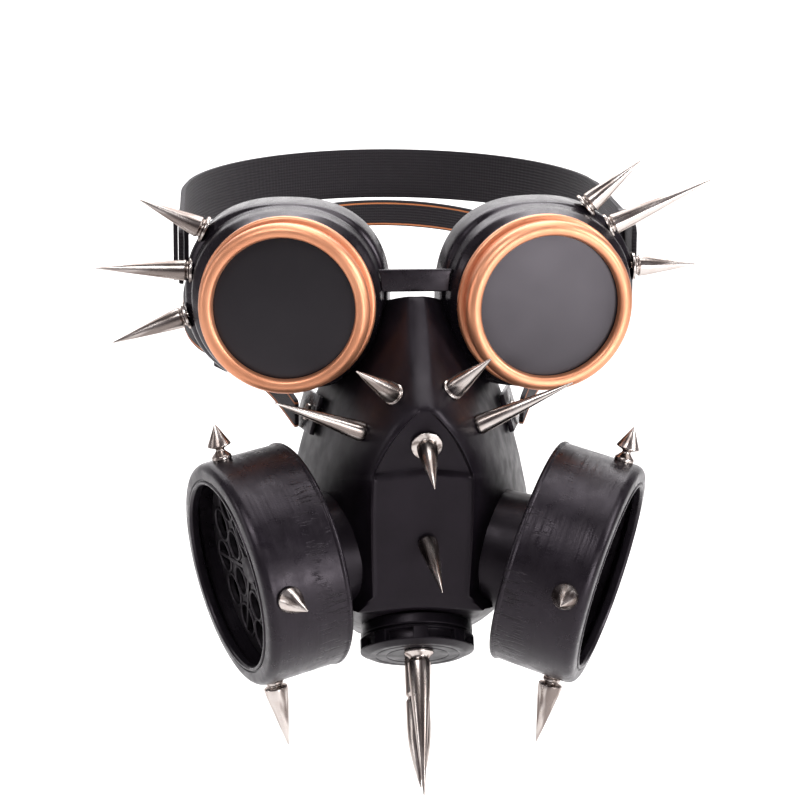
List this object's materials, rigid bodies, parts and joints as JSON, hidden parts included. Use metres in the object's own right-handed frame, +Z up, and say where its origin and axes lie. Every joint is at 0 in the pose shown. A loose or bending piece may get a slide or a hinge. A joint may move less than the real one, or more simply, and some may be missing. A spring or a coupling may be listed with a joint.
{
  "type": "gas mask style costume mask with goggles",
  "caption": "Half face gas mask with filter drums on the cheeks, a ribbed chin cap, spiked round goggles and head straps.",
  "frame": {"origin": "between the eyes at the height of the lens centres, where the mask sits on the face", "axes": "-Y out of the face to the front, +Y towards the back of the head, +Z up, +X to the right as seen from the front"},
  "size_m": [0.222, 0.2667, 0.217],
  "materials": {
    "mask_black": "satin black moulded vinyl with soft highlights",
    "cup_black": "glossy soft black vinyl",
    "drum_black": "semi-matte dark plastic with scuffs and fine scratches",
    "grille_black": "semi-matte black plastic",
    "copper": "satin metallic copper paint",
    "lens_dark": "dark tinted glass that hides what is behind it",
    "strap_black": "black woven elastic",
    "tab_black": "glossy black vinyl",
    "slide_black": "semi-matte black plastic",
    "spike_steel": "polished nickel"
  },
  "bodies": {
    "root": {"mask_shell": "mask_black", "chin_seat": "mask_black", "chin_cap": "drum_black", "drum_neck_left": "drum_black", "drum_neck_right": "drum_black", "filter_drum_left": "drum_black", "filter_drum_right": "drum_black", "filter_grille_left": "grille_black", "filter_grille_right": "grille_black", "eye_cup_left": "cup_black", "eye_cup_right": "cup_black", "ring_base_left": "copper", "ring_base_right": "copper", "ring_cap_left": "copper", "ring_cap_right": "copper", "lens_left": "lens_dark", "lens_right": "lens_dark", "nose_bridge": "strap_black", "goggle_strap": "strap_black", "goggle_slide_left": "slide_black", "goggle_slide_right": "slide_black", "mask_strap": "strap_black", "mask_slide_left": "slide_black", "mask_slide_right": "slide_black", "strap_tab_left": "tab_black", "strap_tab_right": "tab_black", "strap_rivet_left": "spike_steel", "strap_rivet_right": "spike_steel", "spike_goggle_upper_left": "spike_steel", "spike_goggle_upper_right": "spike_steel", "spike_goggle_middle_left": "spike_steel", "spike_goggle_middle_right": "spike_steel", "spike_goggle_lower_left": "spike_steel", "spike_goggle_lower_right": "spike_steel", "spike_brow_left": "spike_steel", "spike_brow_right": "spike_steel", "spike_cheek_left": "spike_steel", "spike_cheek_right": "spike_steel", "spike_arch": "spike_steel", "spike_mouth": "spike_steel", "spike_chin_front": "spike_steel", "spike_chin_rear": "spike_steel", "spike_drum_top_left": "spike_steel", "spike_drum_top_right": "spike_steel", "spike_drum_front_left": "spike_steel", "spike_drum_front_right": "spike_steel", "spike_drum_bottom_left": "spike_steel", "spike_drum_bottom_right": "spike_steel"}
  },
  "joints": []
}
